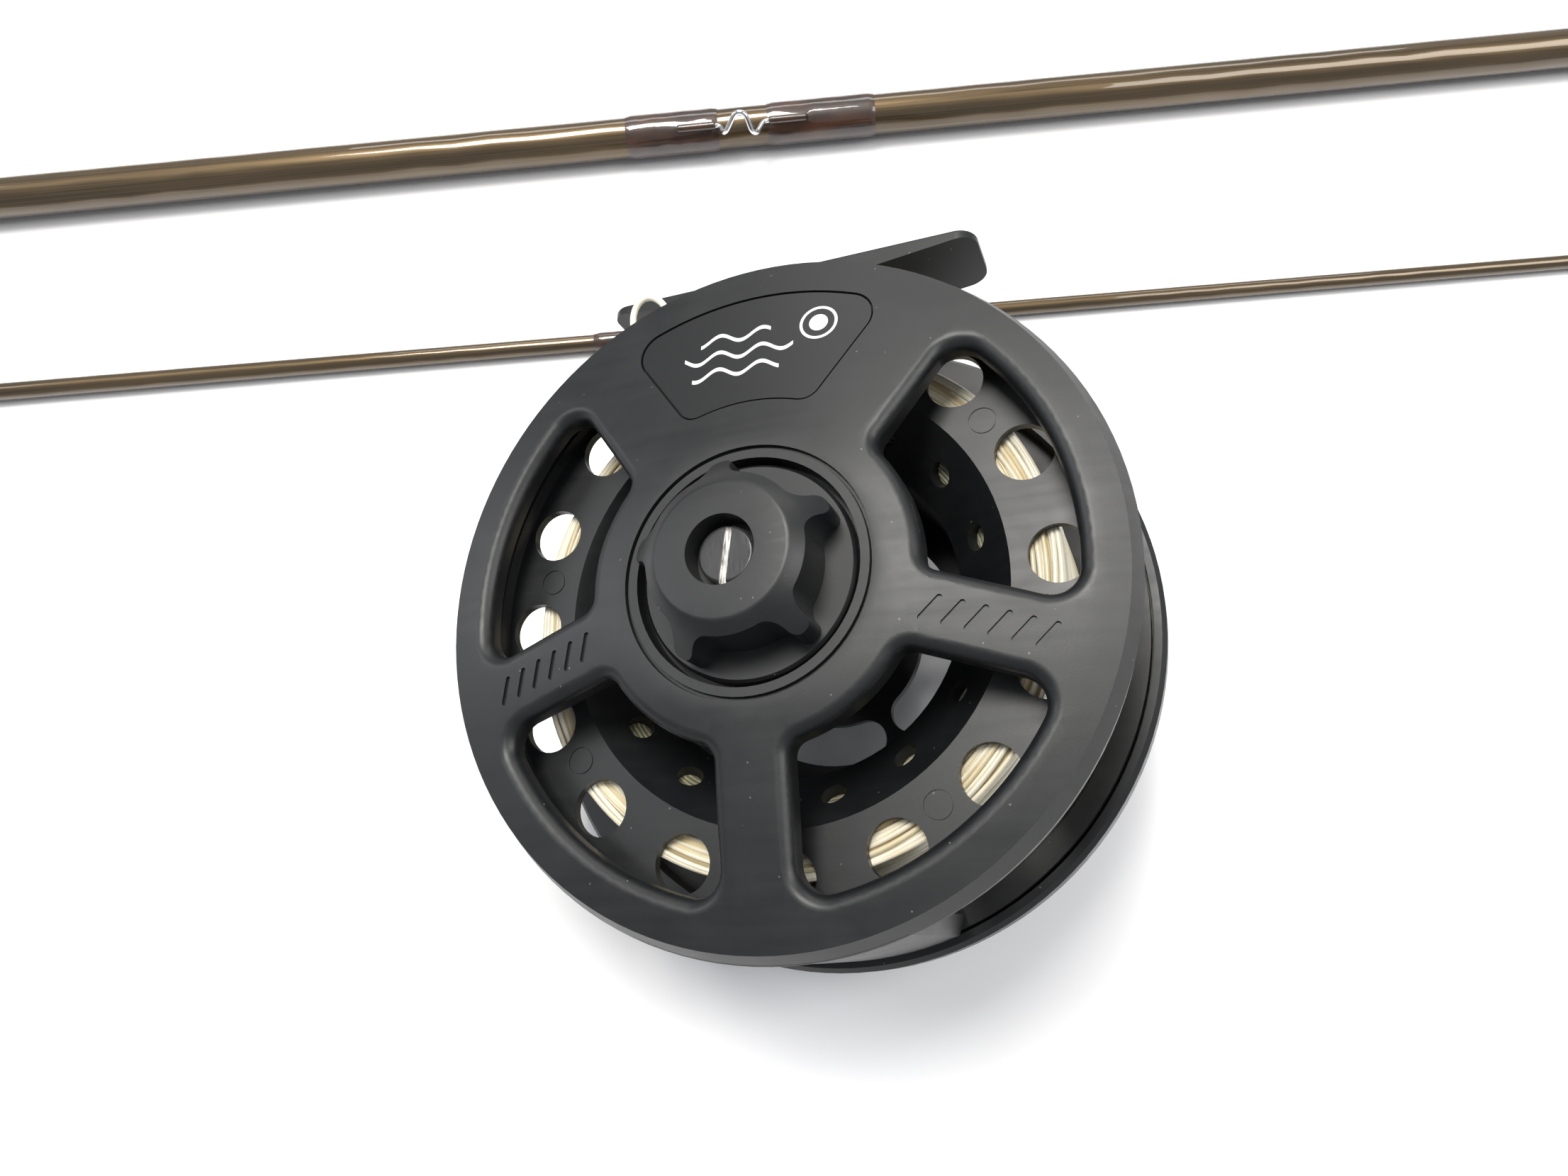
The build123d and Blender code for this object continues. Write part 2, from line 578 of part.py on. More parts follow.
def spool():
    line_side = arbor_points()
    section = [
        (ARBOR_MOUTH, REAR_FLANGE_TOP), (REAR_FLANGE_RADIUS - 1.4, REAR_FLANGE_TOP),
        (REAR_FLANGE_RADIUS - 0.9, REAR_FLANGE_TOP + REAR_FLANGE_RIM),
        (REAR_FLANGE_RADIUS, REAR_FLANGE_TOP + REAR_FLANGE_RIM),
        (REAR_FLANGE_RADIUS, REAR_FLANGE_BOTTOM)] + line_side + [
        (RIM_INNER, FRONT_FLANGE_TOP), (RIM_INNER, RIM_TOP), (RIM_OUTER - 0.7, RIM_TOP),
        (RIM_OUTER, RIM_TOP - 0.8), (RIM_OUTER, FRONT_FLANGE_BOTTOM + 0.6),
        (RIM_OUTER - 0.6, FRONT_FLANGE_BOTTOM), (BUSH_OUTER, FRONT_FLANGE_BOTTOM),
        (BUSH_OUTER, HUB_STEP_Z), (SLEEVE_OUTER, HUB_STEP_Z), (SLEEVE_OUTER, HUB_TUBE_TOP),
        (HUB_TUBE_RADIUS, HUB_TUBE_TOP), (HUB_TUBE_RADIUS, FRONT_FLANGE_TOP),
        (ARBOR_THROAT, FRONT_FLANGE_TOP), (ARBOR_THROAT, ARBOR_THROAT_Z)]
    body = turned(section)
    for index in range(FLANGE_HOLES):
        angle = FLANGE_HOLE_START + index * 360 / FLANGE_HOLES
        hole = Pos(FLANGE_HOLE_CIRCLE, 0, REAR_FLANGE_TOP) * Cylinder(FLANGE_HOLE_RADIUS, 6)
        body -= Rot(0, 0, angle) * hole
        drill = Pos(ARBOR_HOLE_CIRCLE, 0, -12.4) * Rot(0, -45, 0) * Cylinder(ARBOR_HOLE_RADIUS, 6)
        body -= Rot(0, 0, angle + 180 / FLANGE_HOLES) * drill
    for index in range(MOULD_MARKS):
        angle = FLANGE_HOLE_START - 180 / FLANGE_HOLES + index * 360 / MOULD_MARKS
        mark = ring(MOULD_MARK_RADIUS - 0.18, MOULD_MARK_RADIUS, -0.15, 1)
        body -= Rot(0, 0, angle) * Pos(MOULD_MARK_CIRCLE, 0, REAR_FLANGE_TOP) * mark
    for index in range(WEB_SLOTS):
        slot = SlotArc(CenterArc((0, 0), WEB_SLOT_CIRCLE, 0, 44), WEB_SLOT_WIDTH)
        body -= prism(Rot(0, 0, 25 + index * 360 / WEB_SLOTS) * slot, -39, -34)
    handle_x, handle_y = on_circle(HANDLE_CIRCLE, HANDLE_ANGLE)
    body += Pos(handle_x, handle_y, 0) * ring(0, HANDLE_BOSS_RADIUS, -38.9, FRONT_FLANGE_BOTTOM + 0.5)
    body -= Pos(handle_x, handle_y, -37.5) * Cylinder(HANDLE_POST_RADIUS, 6)
    weight_x, weight_y = on_circle(COUNTERWEIGHT_CIRCLE, HANDLE_ANGLE + 180)
    body -= Pos(weight_x, weight_y, -37.5) * Cylinder(COUNTERWEIGHT_STUD_RADIUS, 6)
    return body


def backing():
    mouth, upper, lower, front = arbor_points()
    slope = (mouth[0] - upper[0]) / (mouth[1] - upper[1])
    top = mouth[1] + (BACKING_RADIUS - mouth[0]) / slope
    return turned([(BACKING_RADIUS, top), upper, lower, front, (BACKING_RADIUS, FRONT_FLANGE_TOP)])


def fly_line():
    mouth, upper = arbor_points()[:2]
    slope = (mouth[0] - upper[0]) / (mouth[1] - upper[1])
    top = mouth[1] + (BACKING_RADIUS - mouth[0]) / slope
    return turned([(BACKING_RADIUS, top), mouth, (LINE_RADIUS - 0.8, REAR_FLANGE_BOTTOM),
                   (LINE_RADIUS, -10.6), (LINE_RADIUS, -34.6), (LINE_RADIUS - 0.8, FRONT_FLANGE_TOP),
                   (BACKING_RADIUS, FRONT_FLANGE_TOP)])


def spool_bush():
    return ring(SPINDLE_RADIUS + RUN, BUSH_OUTER, FRONT_FLANGE_BOTTOM + 0.2, HUB_STEP_Z - 2)


def spool_cap():
    """Cup over the spindle's end, with a slot for the latch and rails under it."""
    rotate = Rot(0, 0, LATCH_ANGLE)
    inside = CAP_RADIUS - CAP_WALL
    body = turned([(0, CAP_BOTTOM), (CAP_RADIUS - 0.9, CAP_BOTTOM), (CAP_RADIUS, CAP_BOTTOM + 0.9),
                   (CAP_RADIUS, FRONT_FLANGE_BOTTOM), (inside, FRONT_FLANGE_BOTTOM),
                   (inside, SPINDLE_BOTTOM - 0.1), (0, SPINDLE_BOTTOM - 0.1)])
    body -= rotate * Pos(CAP_RADIUS, 0, -38.9) * Box(6, 5.0, 1.2)
    for side in (-1, 1):
        body += rotate * Pos(0, side * 3.7, -39.85) * Box(12, 0.8, 0.95)
    return body


def latch_slide():
    """Keyhole plate that grips the spindle's neck; its tab is pressed to free the spool."""
    plate = Pos(0.2, 0) * Rectangle(13.2, LATCH_WIDTH) + Pos(9.6, 0) * Rectangle(6.4, 4.4)
    plate -= Circle(NECK_RADIUS + 0.15)
    plate -= Pos(LATCH_TRAVEL, 0) * Circle(SPINDLE_RADIUS + 0.15)
    return Rot(0, 0, LATCH_ANGLE) * prism(plate, -38.5 - LATCH_THICKNESS, -38.5)


def latch_spring():
    coil = spring(1.0, 1.1, 2, 0.3)
    return Rot(0, 0, LATCH_ANGLE) * Pos(-9.15, 0, -38.9) * Rot(0, 90, 0) * coil


def handle_post():
    """Shoulder screw that the handle turns on."""
    head_top = HANDLE_TIP + 2.1
    body = ring(0, 3.9, HANDLE_TIP + 0.5, head_top) + ring(0, HANDLE_POST_RADIUS, head_top, -36.0)
    body -= Pos(0, 0, HANDLE_TIP + 0.5) * Box(9, 0.9, 1.4)
    return Pos(*on_circle(HANDLE_CIRCLE, HANDLE_ANGLE), 0) * body


def handle_knob():
    profile = [(4.3, HANDLE_TIP), (5.0, HANDLE_TIP), (5.9, HANDLE_TIP + 0.5), (6.3, HANDLE_TIP + 1.6),
               (6.3, HANDLE_TIP + 4.0), (5.7, HANDLE_TIP + 8.5), (5.0, HANDLE_TIP + 14.0),
               (4.7, HANDLE_TIP + 18.5), (5.1, HANDLE_BASE - 0.6), (4.6, HANDLE_BASE),
               (HANDLE_POST_RADIUS + RUN, HANDLE_BASE), (HANDLE_POST_RADIUS + RUN, HANDLE_TIP + 2.3),
               (4.3, HANDLE_TIP + 2.3)]
    return Pos(*on_circle(HANDLE_CIRCLE, HANDLE_ANGLE), 0) * turned(profile)


def counterweight():
    body = ring(0, COUNTERWEIGHT_RADIUS, FRONT_FLANGE_BOTTOM - 1.3, FRONT_FLANGE_BOTTOM)
    body += ring(0, COUNTERWEIGHT_STUD_RADIUS, -38, -36.0)
    return Pos(*on_circle(COUNTERWEIGHT_CIRCLE, HANDLE_ANGLE + 180), 0) * body


def line_loop():
    radii = bend_radii(LOOP_ROUTE)
    body = wire(LOOP_ROUTE, radii, LINE_DIAMETER)
    print("loop of line: bend radii", [round(r, 1) for r in radii])
    return body


# ---------------------------------------------------------------------------
# rod sections: blank, whippings, guides (X from the thick end, Z up)
# ---------------------------------------------------------------------------
def blank_radius(diameters, distance):
    thick, thin = diameters
    return (thick + (thin - thick) * distance / SECTION_LENGTH) / 2


def solid_blank(diameters, start=0.0, end=SECTION_LENGTH, grow=0.0):
    first = blank_radius(diameters, start) + grow
    last = blank_radius(diameters, end) + grow
    return turned_along([(start, 0), (end, 0), (end, last), (start, first)])


def blank(diameters, socket=None):
    """Tapered tube, with a straight ferrule socket in its thick end if one is given."""
    first, last = (blank_radius(diameters, d) for d in (0, SECTION_LENGTH))
    inside = [(0, first - BLANK_WALL)]
    if socket:
        inside = [(0, socket), (SOCKET_DEPTH, socket),
                  (SOCKET_DEPTH, blank_radius(diameters, SOCKET_DEPTH) - BLANK_WALL - 0.1)]
    return turned_along(inside + [(SECTION_LENGTH, last - BLANK_WALL), (SECTION_LENGTH, last),
                                  (0, first)])


def socket_radius(inner_section):
    """Bore of the socket that slides over the thin end of another section."""
    return blank_radius(inner_section, SECTION_LENGTH) + RUN / 2


def wrap(diameters, start, end):
    """Thread wrapping under varnish: a thin sleeve with tapered ends."""
    slope = 1.2
    edge = 0.08
    points = [(d, blank_radius(diameters, d) + t) for d, t in (
        (start, 0), (start, edge), (start + slope, WRAP_THICKNESS), (end - slope, WRAP_THICKNESS),
        (end, edge), (end, 0))]
    return turned_along(points)


def tilted(shape, angle):
    """Turn a piece about the blank's centre line."""
    return Rot(angle, 0, 0) * shape


def snake_guide(diameters, at, size, angle):
    """Wire with one open coil, its two feet lying along the blank."""
    thickness = 1.0 * size
    foot = blank_radius(diameters, at - 10 * size) + thickness / 2 + 0.02
    half = GUIDE_GAP * size / 2
    side = 3.1 * size
    low, high = foot + 2.6 * size, foot + 6.2 * size
    route = [(-half - 7 * size, 0, foot), (-half, 0, foot), (-half * 0.85, -side * 0.85, low),
             (half * 0.05, side * 0.9, high), (half * 0.5, -side * 1.15, low + 0.9 * size),
             (half, 0, foot), (half + 7 * size, 0, foot)]
    radii = [min(r, 1.6 * size) for r in bend_radii(route)]
    return tilted(Pos(at, 0, 0) * wire(route, radii, thickness), angle)


def guide_wraps(diameters, at, size, angle, guide):
    """The two whippings that bind a guide's feet, each with a ridge over the foot."""
    half = GUIDE_GAP * size / 2
    thickness = 1.0 * size
    height = blank_radius(diameters, at) + thickness / 2
    pieces = []
    for side, length in ((-1, 19 * size), (1, 22 * size)):
        near = at + side * (half + 0.6)
        far = near + side * length
        start, end = min(near, far), max(near, far)
        sleeve = wrap(diameters, start, end)
        ridge_length = 8.2 * size
        middle = near + side * (ridge_length / 2 + 0.2)
        ridge = Pos(middle, 0, height) * Rot(0, 90, 0) * Cylinder(thickness / 2 + 0.25, ridge_length)
        ends = [e for e in ridge.edges() if e.geom_type == GeomType.CIRCLE]
        ridge = fillet(ends, thickness / 2 + 0.1)
        core = solid_blank(diameters, start - 2, end + 2)
        pieces.append(sleeve + (tilted(ridge, angle) - core) - guide)
    return pieces


def section_plane(start, heading, diameters, lift=WRAP_THICKNESS):
    """Frame of a section that lies on the bench: X along its centre line."""
    first, last = (blank_radius(diameters, d) + lift for d in (0, SECTION_LENGTH))
    along = Vector(cos(radians(heading)), sin(radians(heading)), (last - first) / SECTION_LENGTH)
    across = Vector(-sin(radians(heading)), cos(radians(heading)), 0)
    return Plane(origin=(*start, first), x_dir=along, z_dir=along.cross(across))


def guided_section(name, diameters, inner_section, guides, sizes, angle):
    """Blank, guides and whippings of one section, keyed by node name."""
    pieces = {name + "_blank": blank(diameters, socket_radius(inner_section))}
    wraps = [wrap(diameters, 0.5, FERRULE_WRAP)]
    for number, (at, size) in enumerate(zip(guides, sizes), 1):
        guide = snake_guide(diameters, at, size, angle)
        pieces[f"{name}_guide_{number}"] = guide
        wraps += guide_wraps(diameters, at, size, angle, guide)
    pieces[name + "_whippings"] = Compound(wraps)
    return pieces


def tip_top():
    """End ring of the rod on its short tube."""
    start = SECTION_LENGTH - 8
    radius = blank_radius(TIP_DIAMETERS, start)
    tube = collar(start, SECTION_LENGTH + 1.2, radius, radius + 0.28)
    loop = Pos(SECTION_LENGTH + 1.2, 0, TIP_RING_RADIUS + 0.9) * Rot(0, 105, 0)
    loop *= Torus(TIP_RING_RADIUS, 0.5)
    body = tube + loop - solid_blank(TIP_DIAMETERS, start - 1, SECTION_LENGTH)
    return tilted(body, GUIDE_ANGLE)


# ---------------------------------------------------------------------------
# butt section: grip, reel seat, stripping guide, hook keeper
# ---------------------------------------------------------------------------
def cork_grip():
    """Half-wells grip with its front end flared."""
    start, end = GRIP_START, GRIP_START + GRIP_LENGTH
    radius = GRIP_RADIUS
    outline = Spline((start, radius - 1.4), (start + 30, radius), (start + 85, radius - 1.9),
                     (start + 135, radius - 2.6), (end - 14, radius - 2.2), (end, radius - 4.6))
    bottom = Polyline((end, radius - 4.6), (end, blank_radius(BUTT_DIAMETERS, end)),
                      (start, blank_radius(BUTT_DIAMETERS, start)), (start, radius - 1.4))
    return revolve(make_face(outline + bottom), Axis.X)


def winding_check():
    start = GRIP_START + GRIP_LENGTH
    inner = blank_radius(BUTT_DIAMETERS, start)
    return turned_along([(start, inner), (start + 4, inner), (start + 4, inner + 1.0),
                         (start + 2.4, inner + 1.6), (start, inner + 2.6)])


def seat_barrel():
    """Tube of the reel seat, threaded at its butt end."""
    points = [(BUTT_CAP_LENGTH - 7, 0), (BUTT_CAP_LENGTH - 7, BARREL_RADIUS)]
    distance = THREAD_START
    while distance < THREAD_END:
        points += [(distance, BARREL_RADIUS), (distance + THREAD_PITCH / 2, BARREL_RADIUS - THREAD_DEPTH)]
        distance += THREAD_PITCH
    points += [(distance, BARREL_RADIUS), (GRIP_START, BARREL_RADIUS), (GRIP_START, 0)]
    return turned_along(points) - solid_blank(BUTT_DIAMETERS, 2, SECTION_LENGTH)


def hood(start, end, mouth):
    """Ring with a raised pocket that takes one end of a reel foot."""
    width, height = HOOD_POCKET
    middle, length = (start + end) / 2, end - start
    body = collar(start, end, 0, HOOD_RADIUS)
    body += Pos(middle, 0, BARREL_RADIUS + height / 2) * Box(length, width + 3, height + 1.6)
    body = fillet([e for e in body.edges().filter_by(Axis.X) if e.center().Z > BARREL_RADIUS], 1.5)
    pocket = Pos(middle + mouth * 3, 0, BARREL_RADIUS + height / 2 - 1) * Box(length, width, height)
    return body - pocket


def fixed_hood():
    return hood(*FIXED_HOOD, -1) - collar(*FIXED_HOOD, 0, BARREL_RADIUS)


def sliding_hood():
    body = hood(*SLIDING_HOOD, 1)
    return body - collar(SLIDING_HOOD[0] - 1, SLIDING_HOOD[1] + 1, 0, BARREL_RADIUS + RUN)


def lock_nut():
    """Knurled nut that pushes the sliding hood."""
    start, end = LOCK_NUT
    body = collar(start, end, BARREL_RADIUS + RUN, LOCK_NUT_RADIUS)
    body = chamfer(body.edges().filter_by(GeomType.CIRCLE).sort_by(SortBy.RADIUS)[-2:], 0.5)
    for index in range(LOCK_NUT_GROOVES):
        groove = Pos((start + end) / 2, 0, LOCK_NUT_RADIUS + 0.1) * Box(end - start - 2, 0.9, 0.9)
        body -= Rot(index * 360 / LOCK_NUT_GROOVES, 0, 0) * groove
    return body


def butt_cap():
    cap = turned_along([(-1, 0), (-1, BUTT_CAP_RADIUS - 2), (0.5, BUTT_CAP_RADIUS - 0.5),
                        (2.5, BUTT_CAP_RADIUS), (THREAD_START - 1, BUTT_CAP_RADIUS - 0.4),
                        (THREAD_START - 1, 0)])
    cap -= collar(BUTT_CAP_LENGTH - 7, THREAD_START, 0, BARREL_RADIUS)
    return cap - solid_blank(BUTT_DIAMETERS, 0, 20)


def stripping_guide_foot():
    """Height of the feet's wire above the blank's centre line."""
    return blank_radius(BUTT_DIAMETERS, STRIPPING_GUIDE_AT - STRIPPING_GUIDE_REACH) + 0.62


def stripping_guide():
    """Ring frame on two legs and a prop; its feet lie fore and aft on the blank."""
    foot = stripping_guide_foot()
    top = foot + STRIPPING_GUIDE_RISE
    routes = [[(-STRIPPING_GUIDE_REACH, side * 0.5, foot), (-9, side * 0.5, foot),
               (-0.4, side * 5.0, top - 3.6)] for side in (-1, 1)]
    routes.append([(STRIPPING_GUIDE_REACH, 0, foot), (9, 0, foot), (0.4, 0, top - 5.8)])
    bore = Pos(0, 0, top) * Rot(0, 90, 0) * Cylinder(GUIDE_RING_RADIUS, 4)
    frame = Pos(0, 0, top) * Rot(0, 90, 0) * Cylinder(GUIDE_RING_RADIUS + 1.2, 2.2)
    for route in routes:
        frame += wire(route, [2.0], STRIPPING_GUIDE_WIRE)
    return Pos(STRIPPING_GUIDE_AT, 0, 0) * (frame - bore)


def guide_ring():
    """Ceramic ring pressed into the stripping guide."""
    top = stripping_guide_foot() + STRIPPING_GUIDE_RISE
    outer, flank, inner = GUIDE_RING_RADIUS, GUIDE_RING_RADIUS - 0.6, GUIDE_RING_RADIUS - 1.0
    half = turned([(inner, -0.6), (flank, -1.4), (outer, -1.4), (outer, 1.4), (flank, 1.4),
                   (inner, 0.6)])
    return Pos(STRIPPING_GUIDE_AT, 0, top) * Rot(0, 90, 0) * half


def hook_keeper():
    """Small wire loop ahead of the grip."""
    foot = blank_radius(BUTT_DIAMETERS, HOOK_KEEPER_AT - 9) + 0.42
    route = [(-9, 0, foot), (-4, 0, foot), (-2.6, 0, foot + 4.2), (2.6, 0, foot + 4.2),
             (4, 0, foot), (9, 0, foot)]
    return tilted(Pos(HOOK_KEEPER_AT, 0, 0) * wire(route, [1.0, 1.2, 1.2, 1.0], 0.8), 60)


def butt_whippings(guide, keeper):
    """Whippings of ferrule end, stripping guide feet and hook keeper feet."""
    spans = [(SECTION_LENGTH - FERRULE_WRAP, SECTION_LENGTH - 6)]
    for centre, near, far in ((STRIPPING_GUIDE_AT, 9, 23), (HOOK_KEEPER_AT, 4.6, 11)):
        spans.append((centre - far, centre - near))
        spans.append((centre + near, centre + far))
    return Compound([wrap(BUTT_DIAMETERS, *span) - guide - keeper for span in spans])


# ---------------------------------------------------------------------------
# assembly
# ---------------------------------------------------------------------------
def reel_plane():
    lean, heading = radians(REEL_LEAN), radians(REEL_LEAN_HEADING)
    axis = Vector(sin(lean) * cos(heading), sin(lean) * sin(heading), cos(lean))
    foot = Vector(cos(radians(REEL_FOOT_HEADING)), sin(radians(REEL_FOOT_HEADING)), 0)
    return Plane(origin=(0, 0, REEL_HEIGHT), x_dir=foot.cross(axis), z_dir=axis)


def butt_plane():
    """The butt lies on the swell of its grip and on its thin end."""
    swell_at, swell = GRIP_START + 30, GRIP_RADIUS
    thin = blank_radius(BUTT_DIAMETERS, SECTION_LENGTH) + WRAP_THICKNESS
    slope = (thin - swell) / (SECTION_LENGTH - swell_at)
    along = Vector(1, 0, slope).normalized()
    origin = (*BUTT_START, swell - slope * swell_at + GRIP_SAG)
    return Plane(origin=origin, x_dir=along, z_dir=along.cross(Vector(0, 1, 0)))


REEL_PIECES = [
    reel_frame, reel_badge, reel_foot, foot_screws, spindle, drag_washer_rear, drag_disc,
    drag_washer_front, pressure_plate, retaining_ring, one_way_clutch, clicker_gear, clicker_pin,
    clicker_pawl, clicker_spring, drag_knob, drag_nut, knob_screw, drag_spring, spool, backing,
    fly_line, spool_bush, spool_cap, latch_slide, latch_spring, handle_post, handle_knob,
    counterweight, line_loop]
BUTT_PIECES = [cork_grip, winding_check, seat_barrel, fixed_hood, sliding_hood, lock_nut, butt_cap,
               guide_ring]
LOWER_MID_PLANE = section_plane(LOWER_MID_START, 0, LOWER_MID_DIAMETERS)
UPPER_MID_PLANE = section_plane(UPPER_MID_START, 0, UPPER_MID_DIAMETERS)
TIP_PLANE = section_plane(TIP_START, TIP_HEADING, TIP_DIAMETERS)


def laid_out():
    """Every piece in bench coordinates, keyed by node name."""
    pieces = {make.__name__: reel_plane() * make() for make in REEL_PIECES}
    butt = {make.__name__: make() for make in BUTT_PIECES}
    guide, keeper = stripping_guide(), hook_keeper()
    butt.update(butt_blank=blank(BUTT_DIAMETERS), stripping_guide=guide, hook_keeper=keeper,
                butt_whippings=butt_whippings(guide, keeper))
    lower_mid = guided_section("lower_mid", LOWER_MID_DIAMETERS, BUTT_DIAMETERS,
                               LOWER_MID_GUIDES, LOWER_MID_GUIDE_SIZES, GUIDE_ANGLE)
    upper_mid = guided_section("upper_mid", UPPER_MID_DIAMETERS, LOWER_MID_DIAMETERS,
                               UPPER_MID_GUIDES, UPPER_MID_GUIDE_SIZES, GUIDE_ANGLE)
    tip = guided_section("tip", TIP_DIAMETERS, UPPER_MID_DIAMETERS,
                         TIP_GUIDES, TIP_GUIDE_SIZES, GUIDE_ANGLE)
    tip["tip_top"] = tip_top()
    sections = [(butt_plane(), butt), (LOWER_MID_PLANE, lower_mid), (UPPER_MID_PLANE, upper_mid),
                (TIP_PLANE, tip)]
    for plane, parts in sections:
        pieces.update({name: plane * shape for name, shape in parts.items()})
    return pieces


def home(pieces):
    """Moves the middle of the layout's footprint to the origin, and its underside to Z = 0."""
    boxes = [shape.bounding_box() for name, shape in pieces.items() if name != "line_loop"]
    low_x, high_x = min(b.min.X for b in boxes), max(b.max.X for b in boxes)
    low_y, high_y = min(b.min.Y for b in boxes), max(b.max.Y for b in boxes)
    return Location((-(low_x + high_x) / 2, -(low_y + high_y) / 2, -min(b.min.Z for b in boxes)))


def main():
    os.makedirs("parts", exist_ok=True)
    pieces = laid_out()
    to_home = home(pieces)
    print("shift to the origin", tuple(to_home.position))
    for name, shape in pieces.items():
        export_step(to_home * shape, f"parts/{name}.step")
    print(len(pieces), "nodes")


if __name__ == "__main__":
    main()
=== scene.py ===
import json
import math
import random

import bpy
from mathutils import Matrix, Vector


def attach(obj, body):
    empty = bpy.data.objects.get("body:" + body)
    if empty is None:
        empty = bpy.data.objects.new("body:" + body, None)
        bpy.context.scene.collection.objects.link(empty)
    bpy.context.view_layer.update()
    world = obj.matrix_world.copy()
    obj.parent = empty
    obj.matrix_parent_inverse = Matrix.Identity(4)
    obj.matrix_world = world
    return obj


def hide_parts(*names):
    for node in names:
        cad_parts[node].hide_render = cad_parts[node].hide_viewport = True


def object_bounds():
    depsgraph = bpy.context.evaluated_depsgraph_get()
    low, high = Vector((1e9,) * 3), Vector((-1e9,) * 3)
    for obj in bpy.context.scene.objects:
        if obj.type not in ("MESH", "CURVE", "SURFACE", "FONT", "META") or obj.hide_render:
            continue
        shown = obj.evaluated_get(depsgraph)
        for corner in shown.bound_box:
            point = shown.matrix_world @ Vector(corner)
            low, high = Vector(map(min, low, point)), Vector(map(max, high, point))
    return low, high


MM = 0.001

# --- camera, from the middle of the reel's back plate
CAMERA_OFFSET = Vector((9.2, -46.8, 141.4)) * MM
CAMERA_TURN = (17.49, 3.44, -3.755)        # degrees about X, Y and Z
CAMERA_LENS = 25.23                        # mm, on a 36 mm wide sensor

# --- how the joints stand in the reel's frame
KNOB_PIVOT_HEIGHT = 6 * MM                 # of the drag knob's joint above the back plate's origin
LATCH_ANGLE = 60                           # degrees from the reel's +X to the latch's tab

# --- free loop of fly line, in the reel's frame
LINE_DIAMETER = 1.1 * MM
TURN_DIAMETER = 0.8 * MM                   # of each turn as it shows on the full spool
LOOP_ROUTE = [(-14.6, 38.9, -14.2), (-15.8, 43.0, -12.6), (-17.2, 46.9, -10.4),
              (-18.6, 50.5, -8.9), (-19.9, 53.0, -8.3), (-22.1, 54.2, -8.0),
              (-24.3, 53.1, -8.1), (-25.3, 50.4, -8.7), (-24.6, 46.2, -10.0),
              (-23.2, 41.8, -12.2), (-21.4, 37.6, -14.2)]

# --- turns of line on the spool
TURN_STEPS = 144
TURN_SIDES = 6
TURN_PITCH = 0.78                          # between turns, in turn diameters
CORE_STEPS = 96
CORE_INSET = 0.8 * MM                      # of the core under the turns

# --- shading of the CAD nodes
JOIN_DISTANCE = 0.001 * MM
CRISP_ANGLE = 30                           # degrees between faces, above which an edge is sharp

# --- floor
FLOOR_HALF = 4.0                           # metres
FLOOR_GAP = 0.05 * MM                      # between the floor and the object's underside

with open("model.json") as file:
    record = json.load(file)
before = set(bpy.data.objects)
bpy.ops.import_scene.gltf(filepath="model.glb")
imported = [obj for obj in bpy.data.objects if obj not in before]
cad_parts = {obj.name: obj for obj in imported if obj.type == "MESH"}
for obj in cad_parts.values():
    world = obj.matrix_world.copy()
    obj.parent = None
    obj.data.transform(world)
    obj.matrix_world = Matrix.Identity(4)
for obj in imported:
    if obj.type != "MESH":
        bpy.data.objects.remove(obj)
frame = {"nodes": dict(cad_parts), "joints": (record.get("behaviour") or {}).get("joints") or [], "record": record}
cad_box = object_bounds()


# ---------------------------------------------------------------------------
# the reel's own frame: +Z out of its back plate, +Y through its foot
# ---------------------------------------------------------------------------
def reel_frame():
    joints = {joint["name"]: joint for joint in frame["joints"]}
    knob = joints["drag_turn"]
    axis = Vector(knob["axis"])
    middle = Vector(knob["pos_m"]) - KNOB_PIVOT_HEIGHT * axis
    latch_side = -Vector(joints["latch_press"]["axis"])
    side = Matrix.Rotation(math.radians(-LATCH_ANGLE), 3, axis) @ latch_side
    made = Matrix((side, axis.cross(side), axis)).transposed().to_4x4()
    made.translation = middle
    return made


REEL = reel_frame()


def reel_profile(node):
    """Least and greatest radius and height of a CAD node, in the reel's frame."""
    back = REEL.inverted()
    points = [back @ vertex.co for vertex in frame["nodes"][node].data.vertices]
    radii = [math.hypot(p.x, p.y) for p in points]
    heights = [p.z for p in points]
    return min(radii), max(radii), min(heights), max(heights)


def camera():
    data = bpy.data.cameras.new("camera")
    data.lens = CAMERA_LENS
    data.sensor_width = 36
    data.clip_start = 0.005
    made = bpy.data.objects.new("camera", data)
    made.location = REEL.translation + CAMERA_OFFSET
    made.rotation_euler = [math.radians(angle) for angle in CAMERA_TURN]
    bpy.context.scene.collection.objects.link(made)
    bpy.context.scene.camera = made


